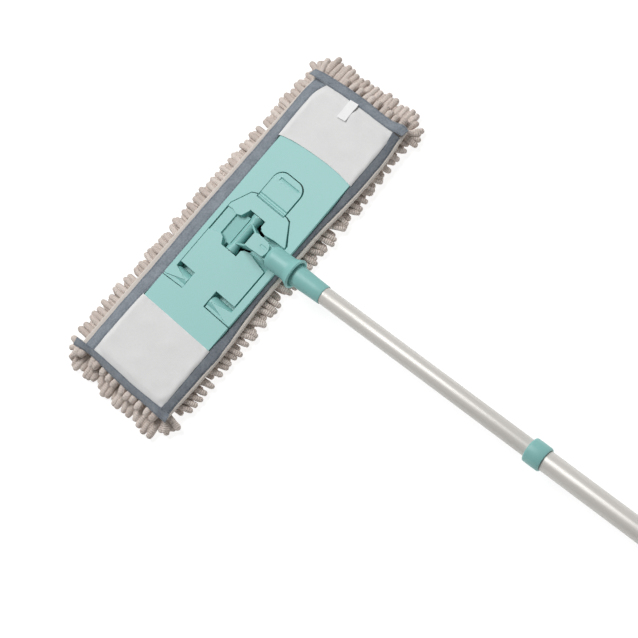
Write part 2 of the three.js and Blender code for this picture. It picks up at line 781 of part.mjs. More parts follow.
for (const [end, side] of [['tail', -1], ['main', 1]]) {
  add(mop, `pile_${end}`, pileBlock(side), pile);
  add(mop, `backing_${end}`, backing(side), beigeCloth);
  add(mop, `tape_far_${end}`, tape(tapeFar, side, TAPE_HEIGHT), greyTape);
  add(mop, `tape_near_${end}`, tape(tapeNear, side, TAPE_HEIGHT), greyTape);
  add(mop, `pocket_${end}`, pocket(side), cloth);
}
add(mop, 'tape_end_tail', tape(tapeLeft, -1, END_TAPE_HEIGHT), greyTape);
add(mop, 'tape_end_main', tape(tapeRight, 1, END_TAPE_HEIGHT), greyTape);
add(mop, 'label', label(), cloth);

// The yoke's outer end turns local +Y towards the pole's far end and down to the floor.
const yokeEnd = new THREE.Group();
yokeEnd.position.set(0, SWING_Y, SWING_Z);
yokeEnd.rotation.set(-POLE_SLOPE, 0, Math.PI, 'ZXY');
mop.add(yokeEnd);

const handle = new THREE.Group();
handle.rotation.z = THREE.MathUtils.degToRad(REST_SWING_DEG);
yokeEnd.add(handle);

add(handle, 'socket', socket(), teal);
add(handle, 'ferrule', ferrule(), teal);
add(handle, 'inner_tube', tube(INNER_R, INNER_START, INNER_END), steel);
add(handle, 'lock_spindle', lockSpindle(), darkPlastic);
add(handle, 'lock_ring', lockRing(), darkPlastic);
add(handle, 'collar', collar(), teal);
add(handle, 'outer_tube', tube(OUTER_R, OUTER_START, OUTER_END), steel);
add(handle, 'end_cap', endCap(), teal);

export default mop;
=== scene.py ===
"""Flat mop: moulded folding plate, swivel joint, steel pole and chenille pocket pad."""
import json
import math

import bpy
import numpy as np
from mathutils import Matrix, Vector


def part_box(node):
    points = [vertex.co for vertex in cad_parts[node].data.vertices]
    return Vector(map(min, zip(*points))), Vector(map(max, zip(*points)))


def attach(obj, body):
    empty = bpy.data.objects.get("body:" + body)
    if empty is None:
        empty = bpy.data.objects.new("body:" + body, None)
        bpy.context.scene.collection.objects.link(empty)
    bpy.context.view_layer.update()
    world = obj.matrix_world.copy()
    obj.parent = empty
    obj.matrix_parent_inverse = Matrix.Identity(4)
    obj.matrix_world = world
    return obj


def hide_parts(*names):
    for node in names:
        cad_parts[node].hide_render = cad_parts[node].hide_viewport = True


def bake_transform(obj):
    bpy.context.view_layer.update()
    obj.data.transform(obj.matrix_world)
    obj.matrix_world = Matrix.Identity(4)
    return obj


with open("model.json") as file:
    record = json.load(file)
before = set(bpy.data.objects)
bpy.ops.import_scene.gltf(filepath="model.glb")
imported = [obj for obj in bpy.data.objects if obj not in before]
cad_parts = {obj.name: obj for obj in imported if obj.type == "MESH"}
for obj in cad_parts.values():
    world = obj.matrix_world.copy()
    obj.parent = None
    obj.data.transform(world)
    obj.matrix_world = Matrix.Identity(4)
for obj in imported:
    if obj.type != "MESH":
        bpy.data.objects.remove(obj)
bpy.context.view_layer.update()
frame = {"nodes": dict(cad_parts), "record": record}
scene = bpy.context.scene
MM = 0.001

# ---- camera, floor and light ---------------------------------------------------------

CAMERA_AT = Vector((-0.0386, -0.8927, 1.8542))
CAMERA_AIM = Vector((-0.0161, -0.1082, 0.0))
CAMERA_ROLL = math.radians(-47.97)
CAMERA_LENS = 111.4
SENSOR_WIDTH = 36
OVERHEAD_WATTS = 55
SIDE_WATTS = 5.5
WORLD_STRENGTH = 0.2


def make_camera():
    data = bpy.data.cameras.new("camera")
    data.lens = CAMERA_LENS
    data.sensor_width = SENSOR_WIDTH
    camera = bpy.data.objects.new("camera", data)
    scene.collection.objects.link(camera)
    aim = (CAMERA_AIM - CAMERA_AT).to_track_quat("-Z", "Y")
    roll = Matrix.Rotation(CAMERA_ROLL, 4, "Z")
    camera.matrix_world = Matrix.Translation(CAMERA_AT) @ aim.to_matrix().to_4x4() @ roll
    scene.camera = camera


def soft_box(name, at, aim, size, watts):
    """A rectangular studio light at a place, turned towards its aim."""
    data = bpy.data.lights.new(name, "AREA")
    data.shape = "RECTANGLE"
    data.size, data.size_y = size
    data.energy = watts
    light = bpy.data.objects.new(name, data)
    light.location = at
    light.rotation_euler = (Vector(aim) - Vector(at)).to_track_quat("-Z", "Y").to_euler()
    scene.collection.objects.link(light)


def make_world():
    world = bpy.data.worlds.new("studio")
    world.use_nodes = True
    background = world.node_tree.nodes["Background"].inputs
    background["Color"].default_value = (1, 1, 1, 1)
    background["Strength"].default_value = WORLD_STRENGTH
    scene.world = world


make_camera()
soft_box("overhead", (0.35, 1.1, 2.3), (0, -0.2, 0), (1.6, 1.0), OVERHEAD_WATTS)
soft_box("side", (2.4, 0.1, 1.5), (0, -0.4, 0), (1.2, 2.2), SIDE_WATTS)
make_world()
scene.view_settings.view_transform = "Standard"

# ---- shader arithmetic -----------------------------------------------------------------


class Sock:
    """An output socket that takes part in arithmetic and feeds other nodes."""

    def __init__(self, tree, socket):
        self.tree = tree
        self.socket = socket

    def node(self, kind, settings=None, values=None, output=0):
        """Makes any node: settings first, then the values or links of its inputs."""
        made = self.tree.nodes.new(kind)
        for key, value in (settings or {}).items():
            setattr(made, key, value)
        for key, value in (values or {}).items():
            if isinstance(value, Sock):
                self.tree.links.new(value.socket, made.inputs[key])
            else:
                made.inputs[key].default_value = value
        return Sock(self.tree, made.outputs[output])

    def math(self, operation, first, second=0.0):
        return self.node("ShaderNodeMath", {"operation": operation}, {0: first, 1: second})

    def __add__(self, other):
        return self.math("ADD", self, other)

    __radd__ = __add__

    def __sub__(self, other):
        return self.math("SUBTRACT", self, other)

    def __rsub__(self, other):
        return self.math("SUBTRACT", other, self)

    def __mul__(self, other):
        return self.math("MULTIPLY", self, other)

    def __gt__(self, other):
        return self.math("GREATER_THAN", self, other)

    def stretched(self, scale, turn):
        """These coordinates turned, then scaled along each axis."""
        values = {"Vector": self, "Rotation": turn}
        aligned = self.node("ShaderNodeMapping", {"vector_type": "POINT"}, values)
        return aligned.node("ShaderNodeVectorMath", {"operation": "MULTIPLY"}, {0: aligned, 1: scale})

    def noise(self, scale, detail=2.0, roughness=0.5):
        return self.node(
            "ShaderNodeTexNoise", None,
            {"Vector": self, "Scale": scale, "Detail": detail, "Roughness": roughness},
        )

    def cells(self, scale):
        return self.node("ShaderNodeTexVoronoi", None, {"Vector": self, "Scale": scale})

    def part(self, index):
        """One of the three coordinates."""
        return self.node("ShaderNodeSeparateXYZ", None, {0: self}, index)

    def wave(self):
        """A sine wave between 0 and 1."""
        return self.math("SINE", self) * 0.5 + 0.5

    def mixed(self, low, high):
        """The colour between low and high that this value picks."""
        return self.node(
            "ShaderNodeMix", {"data_type": "RGBA"}, {0: self, 6: low, 7: high}, 2
        )


def srgb(r, g, b):
    """A linear colour from 0..255 display values."""
    return tuple(
        c / 12.92 if c <= 0.04045 else ((c + 0.055) / 1.055) ** 2.4
        for c in (r / 255, g / 255, b / 255)
    ) + (1.0,)


def finish(name, constants):
    """A new material: its shader, its Object coordinates and its UV coordinates."""
    material = bpy.data.materials.new(name)
    material.use_nodes = True
    tree = material.node_tree
    shader = tree.nodes["Principled BSDF"]
    for key, value in constants.items():
        shader.inputs[key].default_value = value
    places = tree.nodes.new("ShaderNodeTexCoord")
    place, own = (Sock(tree, places.outputs[key]) for key in ("Object", "UV"))
    return material, shader, place, own


def feed(shader, key, value):
    value.tree.links.new(value.socket, shader.inputs[key])


def raised(shader, height, depth, strength):
    """Feeds a bump of that depth in metres to the shader's normal."""
    bump = height.node(
        "ShaderNodeBump", None, {"Height": height, "Distance": depth, "Strength": strength}
    )
    feed(shader, "Normal", bump)


def moulded_plastic():
    """Satin moulded plastic with a fine spark-eroded grain and slight colour drift."""
    material, shader, place, _ = finish("moulded_plastic", {"Specular IOR Level": 0.45})
    drift = place.noise(9, 3)
    speck = place.noise(700, 2)
    tone = drift * 0.6 + speck * 0.4
    feed(shader, "Base Color", tone.mixed(srgb(132, 188, 184), srgb(144, 199, 195)))
    feed(shader, "Roughness", 0.36 + speck * 0.14)
    raised(shader, place.noise(2200, 3), 0.00006, 0.5)
    return material


def painted_steel(name, light, dark):
    """Thin glossy coat on a drawn tube, with faint marks along its length."""
    material, shader, place, _ = finish(
        name, {"Metallic": 0.1, "Specular IOR Level": 0.5, "Coat Roughness": 0.2}
    )
    drawn = place.stretched((600, 7, 600), (0, 0, -REST_SWING)).noise(1, 3)
    drift = place.noise(14, 2)
    feed(shader, "Base Color", (drawn * 0.5 + drift * 0.5).mixed(dark, light))
    feed(shader, "Roughness", 0.3 + drawn * 0.16)
    feed(shader, "Coat Weight", 0.12 + drift * 0.12)
    raised(shader, drawn, 0.00002, 0.4)
    return material


def plated_steel():
    material, shader, place, _ = finish("plated_steel", {"Metallic": 0.95})
    stain = place.noise(180, 3)
    feed(shader, "Base Color", stain.mixed(srgb(150, 152, 155), srgb(190, 190, 188)))
    feed(shader, "Roughness", 0.22 + stain * 0.2)
    return material


def dark_nylon():
    material, shader, place, _ = finish("dark_nylon", {"Specular IOR Level": 0.4})
    speck = place.noise(500, 2)
    feed(shader, "Base Color", speck.mixed(srgb(66, 70, 72), srgb(84, 88, 90)))
    feed(shader, "Roughness", 0.45 + speck * 0.1)
    return material


def chenille():
    """Chenille cord: pile in close rings along each finger, with a soft halo of loose fibre."""
    material, shader, place, own = finish(
        "chenille", {"Roughness": 0.95, "Specular IOR Level": 0.12, "Sheen Weight": 0.25}
    )
    fibre = place.noise(1300, 3, 0.7)
    lumps = place.noise(330, 2)
    along, shade = own.part(0), own.part(1)
    rings = (along * 2900 + fibre * 2.5).wave()
    tufts = place.cells(620)
    tone = rings * 0.16 + (1 - tufts) * 0.2 + lumps * 0.24 + shade * 0.4
    feed(shader, "Base Color", tone.mixed(srgb(188, 173, 163), srgb(242, 231, 223)))
    raised(shader, rings * 0.5 + (1 - tufts) * 0.5 + fibre * 0.4 + lumps * 0.5, 0.0011, 0.8)
    return material


def woven_tape():
    """Grey heathered binding tape: a fine diagonal twill with two rows of lockstitch."""
    material, shader, place, own = finish(
        "woven_tape", {"Roughness": 0.9, "Specular IOR Level": 0.2, "Sheen Weight": 0.15}
    )
    along, across = own.part(0), own.part(1)
    twill = (along * 4200 + across * 190).wave()
    heather = place.noise(420, 3, 0.8)
    cloud = place.noise(85, 3, 0.6)
    row = stitch_row(across, 0.17) + stitch_row(across, 0.49)
    pitch = along * 300
    stitch = row * (pitch.math("FRACT", pitch) > 0.3)
    tone = (heather * 0.55 + twill * 0.1 + cloud * 0.35 - 0.5) * 2.2 + 0.5
    base = tone.mixed(srgb(98, 106, 116), srgb(158, 165, 172))
    feed(shader, "Base Color", (stitch * 0.6).mixed(base, srgb(84, 91, 100)))
    raised(shader, twill * 0.2 + heather * 0.35 + cloud * 0.6 - stitch * 0.7, 0.0005, 0.8)
    return material


def stitch_row(across, at):
    """1 on a narrow line along the tape, 0 elsewhere."""
    off = across - at
    return 1 - (off.math("ABSOLUTE", off) > 0.014)


def plain_cloth(name, low, high, thread, fold, sheen=0.1):
    """Plain woven cloth with a thread count per metre and soft creases."""
    material, shader, place, _ = finish(
        name, {"Roughness": 0.92, "Specular IOR Level": 0.2, "Sheen Weight": sheen}
    )
    weave = (place.part(0) * thread).wave() * 0.5 + (place.part(1) * thread).wave() * 0.5
    crease = place.noise(22, 2)
    lint = place.noise(420, 3)
    tone = weave * 0.3 + crease * 0.35 + lint * 0.35
    feed(shader, "Base Color", tone.mixed(low, high))
    raised(shader, weave * 0.12 + crease * fold + lint * 0.2, 0.0008, 0.6)
    return material


def floor_paint():
    """Pale floor that glows a little, so that it stays nearly white."""
    material, shader, place, _ = finish("floor_paint", {
        "Roughness": 0.9, "Specular IOR Level": 0.1,
        "Emission Color": (1, 1, 1, 1), "Emission Strength": 0.84,
    })
    tone = place.noise(2, 2).mixed((0.29, 0.29, 0.29, 1), (0.31, 0.31, 0.31, 1))
    feed(shader, "Base Color", tone)
    return material


# ---- handle frame ----------------------------------------------------------------------

joints = {joint["name"]: joint for joint in frame["record"]["behaviour"]["joints"]}
SWING_PIN = Vector(joints["joint_swing"]["pos_m"])
SWING_AXIS = Vector(joints["joint_swing"]["axis"]).normalized()
POLE = Vector(joints["telescope"]["axis"]).normalized()
ACROSS = SWING_AXIS.cross(POLE).normalized()
REST_SWING = math.atan2(POLE.x, -POLE.y)
HANDLE = Matrix.Translation(SWING_PIN) @ Matrix((
    (ACROSS.x, SWING_AXIS.x, POLE.x, 0),
    (ACROSS.y, SWING_AXIS.y, POLE.y, 0),
    (ACROSS.z, SWING_AXIS.z, POLE.z, 0),
    (0, 0, 0, 1),
))

# ---- modelling -------------------------------------------------------------------------


def pick(obj):
    """Selects one object alone and makes it active."""
    bpy.ops.object.select_all(action="DESELECT")
    obj.select_set(True)
    bpy.context.view_layer.objects.active = obj


def edit(obj, all_selected=True):
    """Opens one object for editing, with all or none of it selected."""
    pick(obj)
    bpy.ops.object.mode_set(mode="EDIT")
    bpy.ops.mesh.select_all(action="SELECT" if all_selected else "DESELECT")


def done():
    bpy.ops.object.mode_set(mode="OBJECT")


def modify(obj, kind, **settings):
    """Adds a modifier and applies it."""
    pick(obj)
    modifier = obj.modifiers.new(kind.lower(), kind)
    for key, value in settings.items():
        setattr(modifier, key, value)
    bpy.ops.object.modifier_apply(modifier=modifier.name)


def settle(obj, place):
    """Moves a piece to its place and puts that into its mesh."""
    obj.matrix_world = place @ obj.matrix_world
    pick(obj)
    bpy.ops.object.transform_apply(location=True, rotation=True, scale=True)


def smooth(obj, degrees=35):
    pick(obj)
    bpy.ops.object.shade_smooth_by_angle(angle=math.radians(degrees))


def dress(obj, material, slot, body, *nodes):
    """Gives a piece its material, its body and the nodes it stands for; the slot argument is not used."""
    obj.data.materials.clear()
    obj.data.materials.append(material)
    if nodes:
        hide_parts(*nodes)
    if body:
        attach(obj, body)
    return obj


ROUND_SIDES = 80


def turned(name, stations, wall=False, round_over=0.35):
    """A round piece on the pole's axis: a ring extruded from station to station.

    Each station is (distance, radius) in millimetres. A wall closes on its first ring.
    """
    bpy.ops.object.select_all(action="DESELECT")
    (far, radius), *rest = [(z * MM, r * MM) for z, r in stations]
    bpy.ops.mesh.primitive_circle_add(
        vertices=ROUND_SIDES, radius=radius, fill_type="NOTHING" if wall else "NGON",
        location=(0, 0, far),
    )
    obj = bpy.context.object
    obj.name = obj.data.name = name
    edit(obj)
    for next_far, next_radius in rest:
        bpy.ops.mesh.extrude_region_move(TRANSFORM_OT_translate={"value": (0, 0, next_far - far)})
        size = next_radius / radius
        bpy.ops.transform.resize(value=(size, size, 1), center_override=(0, 0, next_far))
        far, radius = next_far, next_radius
    bpy.ops.mesh.select_all(action="SELECT")
    bpy.ops.mesh.remove_doubles(threshold=1e-6)
    bpy.ops.mesh.normals_make_consistent(inside=False)
    done()
    settle(obj, HANDLE)
    modify(
        obj, "BEVEL", width=round_over * MM, segments=2, limit_method="ANGLE",
        angle_limit=math.radians(40), use_clamp_overlap=True,
    )
    smooth(obj)
    return obj


def from_cad(node, name, round_over):
    """A copy of a CAD node with merged faces and rounded edges."""
    source = frame["nodes"][node]
    obj = source.copy()
    obj.data = source.data.copy()
    for key in list(obj.keys()):
        del obj[key]
    obj.parent = None
    obj.matrix_world = Matrix.Identity(4)
    obj.name = obj.data.name = name
    scene.collection.objects.link(obj)
    edit(obj)
    bpy.ops.mesh.remove_doubles(threshold=2e-6)
    bpy.ops.mesh.dissolve_limited(angle_limit=math.radians(0.6), delimit={"NORMAL"})
    done()
    modify(
        obj, "BEVEL", width=round_over * MM, segments=3, limit_method="ANGLE",
        angle_limit=math.radians(25), use_clamp_overlap=False, miter_outer="MITER_ARC",
    )
    smooth(obj)
    modify(obj, "WEIGHTED_NORMAL", keep_sharp=True, weight=100)
    return obj


def mesh_object(name, points, faces, uvs):
    """A new object from points in metres, faces and one UV pair per face corner."""
    mesh = bpy.data.meshes.new(name)
    mesh.from_pydata([tuple(p) for p in points], [], faces)
    layer = mesh.uv_layers.new(name="own")
    layer.data.foreach_set("uv", np.array(uvs, float).ravel())
    obj = bpy.data.objects.new(name, mesh)
    scene.collection.objects.link(obj)
    return obj


def sheet_mesh(name, rows, closed=False):
    """A quad mesh over rows of points in millimetres, with UVs in metres along and 0..1 across."""
    rows = np.array(rows, float) * MM
    count, width = rows.shape[:2]
    faces, uvs = [], []
    step = np.linalg.norm(np.diff(rows[:, width // 2], axis=0), axis=1)
    along = np.concatenate(([0], np.cumsum(step)))
    spans = width if closed else width - 1
    for i in range(count - 1):
        for j in range(spans):
            k = (j + 1) % width
            near, ahead = i * width, (i + 1) * width
            faces.append((near + j, near + k, ahead + k, ahead + j))
            uvs += [
                (along[i], j / spans), (along[i], (j + 1) / spans),
                (along[i + 1], (j + 1) / spans), (along[i + 1], j / spans),
            ]
    return mesh_object(name, rows.reshape(-1, 3), faces, uvs)


def clean_normals(obj):
    edit(obj)
    bpy.ops.mesh.remove_doubles(threshold=1e-7)
    bpy.ops.mesh.normals_make_consistent(inside=False)
    done()


# ---- materials in use --------------------------------------------------------------------

teal = moulded_plastic()
pole_paint = painted_steel("pole_paint", srgb(222, 219, 214), srgb(200, 196, 190))
zinc = plated_steel()
nylon = dark_nylon()
tufting = chenille()
tape_weave = woven_tape()
pocket_weave = plain_cloth(
    "pocket_weave", srgb(216, 216, 215), srgb(234, 234, 234), thread=5200, fold=0.9
)
beige_weave = plain_cloth(
    "beige_weave", srgb(202, 193, 185), srgb(222, 215, 208), thread=4200, fold=0.2
)
label_satin = plain_cloth(
    "label_satin", srgb(238, 238, 238), srgb(250, 250, 250), thread=8000, fold=0.1, sheen=0.3
)

# ---- plates ----------------------------------------------------------------------------



def moulding(node, name, round_over, body):
    """A moulded piece from its CAD node."""
    dress(from_cad(node, name, round_over), teal, "teal_plastic", body, node)


def coat(material, *nodes):
    """Gives CAD nodes that are kept as they are their material."""
    for node in nodes:
        materials = frame["nodes"][node].data.materials
        materials.clear()
        materials.append(material)


moulding("window_plate", "main_plate", 0.3, "window_frame")
moulding("tongue_plate", "swivel_plate", 0.3, "tongue_frame")
moulding("release_tab", "foot_tab", 0.3, "foot_release")
moulding("yoke", "swivel_yoke", 0.35, "swivel")
coat(zinc, "hinge_pin_far", "hinge_pin_near", "tilt_axle", "swing_pin")
coat(nylon, "lock_spindle", "lock_ring")

# ---- handle ----------------------------------------------------------------------------


def tube(name, start, end, radius, body, node):
    """A steel tube with a thin wall."""
    bore = radius - 0.8
    stations = [(start, radius), (end, radius), (end, bore), (start, bore), (start, radius)]
    obj = turned(name, stations, wall=True, round_over=0.2)
    dress(obj, pole_paint, "pole_steel", body, node)


def make_handle():
    moulding("socket", "pole_socket", 0.3, "lower_pole")
    ferrule = turned("pole_ferrule", [
        (25, 8.6), (41, 9.1), (45.5, 11.4), (50, 11.5), (60, 11.15), (74, 10.65), (84, 10.3),
        (85, 10.0), (85, 9.8), (55.7, 9.8),
    ])
    dress(ferrule, teal, "teal_plastic", "lower_pole", "ferrule")
    tube("inner_pole", 56, 655, 9.5, "lower_pole", "inner_tube")
    tube("outer_pole", 352, 984, 11, "upper_pole", "outer_tube")
    collar = turned("pole_collar", [
        (346.5, 12.4), (347.1, 13.0), (348.5, 13.25), (356, 13.35), (364, 13.2), (365.2, 12.7),
        (365.5, 12.2), (365.5, 11.3), (351.7, 11.3), (351.7, 9.8), (346.5, 9.8), (346.5, 12.4),
    ], wall=True)
    dress(collar, teal, "teal_plastic", "upper_pole", "collar")
    moulding("end_cap", "pole_cap", 0.4, "upper_pole")


make_handle()

# ---- pad ---------------------------------------------------------------------------------

FOLD_X = joints["frame_fold"]["pos_m"][0] / MM
FOLD_REACH = 16  # half of the pad's length round the fold hinge, which BLEND spans
BLEND = ((FOLD_X + FOLD_REACH) * MM, 0, 0), ((FOLD_X - FOLD_REACH) * MM, 0, 0)
PLATE_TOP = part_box("tongue_plate")[1].z / MM
PLATE_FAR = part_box("window_plate")[1].y / MM
PLATE_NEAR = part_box("window_plate")[0].y / MM
PLATE_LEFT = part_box("tongue_plate")[0].x / MM
PLATE_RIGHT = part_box("window_plate")[1].x / MM
PLATE_CORNER = 12
TAPE_THICK = 1.5
HEM_RADIUS = 1.7
HEM_HEIGHT = 17.7
POCKET_DIP = 26.9  # the pocket cloth's height past the plate's rim
LEFT_MOUTH = -114.0


def across_fold(obj):
    """A piece of the pad that runs through under the fold hinge."""
    obj.parent = None
    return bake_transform(obj)


def along(points):
    """A smooth curve through (place, value) points, as a function."""
    xs, ys = (np.array(v, float) for v in zip(*points))
    slopes = np.gradient(ys, xs)

    def curve(x):
        i = int(np.clip(np.searchsorted(xs, x) - 1, 0, len(xs) - 2))
        h = xs[i + 1] - xs[i]
        t = min(1.0, max(0.0, (x - xs[i]) / h))
        rise = (ys[i + 1] - ys[i]) / h
        bound = 3 * abs(rise)
        m0, m1 = (float(np.clip(m, -bound, bound)) for m in (slopes[i], slopes[i + 1]))
        return (
            ys[i] * (1 + 2 * t) * (1 - t) ** 2 + h * m0 * t * (1 - t) ** 2
            + ys[i + 1] * t * t * (3 - 2 * t) + h * m1 * t * t * (t - 1)
        )

    return curve


# The binding tapes' edges and the hem outside them, in plan.
FAR_IN = along([
    (-205, 51), (-124, 49.7), (-104, 48.0), (88, 48.0), (110, 50.0), (131, 50.8), (156, 50.6),
    (166, 48.6), (178, 43),
])
FAR_OUT = along([
    (-205, 66.2), (-124, 65.8), (0, 65.9), (132, 65.0), (150, 65.8), (165, 64.8), (182, 62.4),
])
FAR_HEM = along([(-205, 70.6), (-124, 70.6), (0, 70.0), (80, 68.8), (130, 67.6), (182, 65.6)])
NEAR_IN = along([
    (-205, -49.6), (-184, -50.8), (-133, -50.7), (-60, -50.5), (150, -50.5), (166, -49.4),
    (178, -47),
])
NEAR_OUT = along([
    (-205, -58.4), (-133, -60), (-114, -60.5), (-97, -59.2), (-74, -56.6), (-41, -53.8),
    (-13, -52.9), (20, -53.1), (51, -54.1), (81, -56.8), (112, -58.8), (132, -58.9),
    (158, -57.7), (173, -55.4), (192, -54.6),
])
NEAR_HEM = along([
    (-205, -59), (-133, -61.3), (-97, -60.8), (-74, -58.9), (-41, -56.6), (-13, -56.1),
    (51, -56.6), (81, -58.8), (126, -60.2), (158, -59), (175, -56.6), (192, -55),
])
LEFT_IN = along([
    (-62, -188.6), (-48, -189.1), (-32, -190.2), (-3, -191.3), (16, -191.2), (52, -191.6),
    (76, -193.6),
])
LEFT_OUT = along([
    (-62, -198.4), (-52, -198.8), (-30, -198.9), (-11, -200), (8, -200.2), (26, -199.8),
    (44, -198.8), (58, -199.2), (76, -202.8),
])
RIGHT_IN = along([
    (-58, 180.4), (-49, 178.2), (-38, 176.9), (-14, 176.6), (5, 176.3), (22, 175.8),
    (48, 173.9), (70, 172.4),
])
RIGHT_OUT = along([
    (-58, 189), (-51, 191.2), (-43, 189.2), (-36, 187.6), (-22, 187.1), (-3, 187.6),
    (17, 187.2), (36, 186), (53, 184.3), (70, 181.4),
])
# Height of the long tapes' inner edges: lower where the plate lies bare.
TAPE_RISE = along([
    (-205, 27.6), (-150, 27.9), (-112, 27.6), (-90, 25.6), (84, 25.4), (104, 27.4),
    (150, 28.0), (182, 27.6),
])
# The right pocket's bowed mouth.
MOUTH = along([
    (-55, 105.5), (-49.7, 106.9), (-17.6, 110.4), (-1.8, 109.8), (34.5, 105.2), (50, 100.5),
    (56, 98.5),
])
# Height of the ground cloth under the plate, rising past both of its ends.
CLOTH_RISE = along([
    (-199, 18), (-191, 21.5), (-187.4, 17), (-185, 15.2), (167, 15.2), (170, 17),
    (176, 21.5), (188, 18),
])


def outside_plate(x, y, left, right):
    """Distance of a point in plan outside the plate's rounded outline."""
    half_long, half_wide = (right - left) / 2, (PLATE_FAR - PLATE_NEAR) / 2
    qx = abs(x - (left + right) / 2) - (half_long - PLATE_CORNER)
    qy = abs(y - (PLATE_FAR + PLATE_NEAR) / 2) - (half_wide - PLATE_CORNER)
    return math.hypot(max(qx, 0), max(qy, 0)) + min(max(qx, qy), 0) - PLATE_CORNER


def pocket_height(x, y, left, right):
    """Height of the pocket cloth: taut on the plate, dipping a little past its rim."""
    off = outside_plate(x, y, left, right)
    top = PLATE_TOP + 0.75
    fall = min(1, max(0, (off + 2.5) / 9))
    fall = fall * fall * (3 - 2 * fall)
    ripple = 0.5 * max(0, math.sin(x / 7 + y / 13) * math.sin(y / 11 - x / 23)) ** 2
    pull = 0.35 * math.exp(-((off + 2) / 5) ** 2) * (1 + math.sin((x - y) / 3.7))
    return top + (POCKET_DIP - top) * fall + ripple * (1 - fall) + pull * (1 - fall)


def spread(low, high, edge, fine, coarse):
    """Stations from low to high, closer together near both ends."""
    first = np.arange(0, edge, fine)
    count = int((high - low - 2 * edge) / coarse) + 2
    middle = np.linspace(edge, high - low - edge, count)
    return low + np.concatenate((first, middle, (high - low) - first[::-1]))


def pocket_rows(mouth, end, left, right):
    """Rows from the pocket's mouth to under the end tape, tucked under the long tapes."""
    rows = []
    for t in spread(0, 1, 0.12, 0.012, 0.045):
        row = []
        for v in spread(0, 1, 0.08, 0.008, 0.03):
            y = NEAR_IN(end(0)) + v * (FAR_IN(end(0)) - NEAR_IN(end(0)))
            x = mouth(y) + t * (end(y) - mouth(y))
            y = NEAR_IN(x) - 0.6 + v * (FAR_IN(x) - NEAR_IN(x) + 1.2)
            tuck = 1.5 * max(0, (t - 0.965) / 0.035) + 0.9 * max(0, 1 - min(v, 1 - v) / 0.01)
            row.append((x, y, pocket_height(x, y, left, right) - tuck))
        rows.append(row)
    turn_in = math.copysign(2.4, end(0) - mouth(0))
    inside = [(x + turn_in, y, z - 0.55) for x, y, z in rows[0]]
    lip = [(x, y, z - 0.3) for x, y, z in rows[0]]
    return [inside, lip] + rows


def make_pocket(name, mouth, end, left, right, body, node):
    """A cloth pocket over one end of the plate, with its mouth turned in."""
    obj = sheet_mesh(name, pocket_rows(mouth, end, left, right))
    modify(obj, "SOLIDIFY", thickness=0.45 * MM, offset=0)
    clean_normals(obj)
    smooth(obj, 60)
    dress(obj, pocket_weave, "pocket_cloth", body, node)


def tape_section(inner, outer, high, low):
    """A folded tape's rounded section as (sideways, height) points, inner edge first."""
    way = 1 if outer > inner else -1
    run = abs(outer - inner)
    top = [(0, -0.9), (0.25, -0.2), (0.09 * run, 0.12), (0.3 * run, 0.3), (0.5 * run, 0.34)]
    top += [(0.7 * run, 0.3), (0.9 * run, 0.1), (run - 0.3, -0.35), (run, -1.0)]
    under = [(run - 0.4, -TAPE_THICK - 0.1), (0.5 * run, -TAPE_THICK), (0.5, -TAPE_THICK)]
    slope = (low - high) / max(run, 0.1)
    return [(inner + way * d, high + slope * d + lift) for d, lift in top + under]


def pucker(place, seed):
    """Small uneven waves that sewing leaves along a tape."""
    short = 0.22 * math.sin(place / 5.3 + seed) + 0.16 * math.sin(place / 2.9 + 2 * seed)
    return short + 0.3 * math.sin(place / 19 + seed)


def make_long_tape(name, inner, outer, low, seed, nodes):
    """A tape along one long side of the pad."""
    rows = []
    for x in np.linspace(-194, 178, 210):
        high = TAPE_RISE(x) + 0.5 * pucker(x, seed)
        edge = outer(x) + 0.4 * pucker(x, seed + 1)
        section = tape_section(inner(x), edge, high, low + 0.6 * pucker(x, seed + 2))
        rows.append([(x, y, z) for y, z in section])
    obj = sheet_mesh(name, rows, closed=True)
    close_ends(obj)
    smooth(obj, 50)
    dress(obj, tape_weave, "grey_tape", None, *nodes)
    return across_fold(obj)


def close_ends(obj):
    """Fills the open ends of a tape."""
    edit(obj, False)
    bpy.ops.mesh.select_non_manifold(extend=False)
    bpy.ops.mesh.edge_face_add()
    bpy.ops.mesh.select_all(action="DESELECT")
    done()
    clean_normals(obj)


def make_end_tape(name, inner, outer, span, seed, body, node):
    """An end tape over the long tapes' ends, with its raw ends left as small ears."""
    rows = []
    for y in np.linspace(*span, 130):
        corner = max(0, (y - 42) / 20, (-36 - y) / 14)
        lift = 1.5 * min(1, corner)
        drop = 3.5 * max(0, min(1, (y - 62) / 12)) + 3.0 * max(0, min(1, (-50 - y) / 8))
        high = 28.1 + lift - drop + 0.5 * pucker(y, seed)
        low = 22.0 + lift - drop * 0.6
        section = tape_section(inner(y) + 0.4 * pucker(y, seed), outer(y), high, low)
        rows.append([(x, y, z) for x, z in section])
    obj = sheet_mesh(name, rows, closed=True)
    close_ends(obj)
    smooth(obj, 50)
    return dress(obj, tape_weave, "grey_tape", body, node)


def hem_roll(edge, way):
    """The ground cloth's rolled hem, as (y, z) points from below outwards to the top."""
    middle = edge - way * HEM_RADIUS
    turns = [(-0.5, -0.87), (0, -1), (0.7, -0.7), (1, 0), (0.7, 0.7), (0.1, 1), (-0.5, 0.87)]
    return [(middle + way * HEM_RADIUS * out, HEM_HEIGHT + HEM_RADIUS * up) for out, up in turns]


def trimmed(x, y):
    """Draws the ground cloth's ends in under the end tapes."""
    right, left, inset = 130, -150, 2.5
    if x > right:
        return right + (x - right) * (RIGHT_OUT(y) - inset - right) / 57
    if x < left:
        return left + (x - left) * (LEFT_OUT(y) + inset - left) / -48
    return x


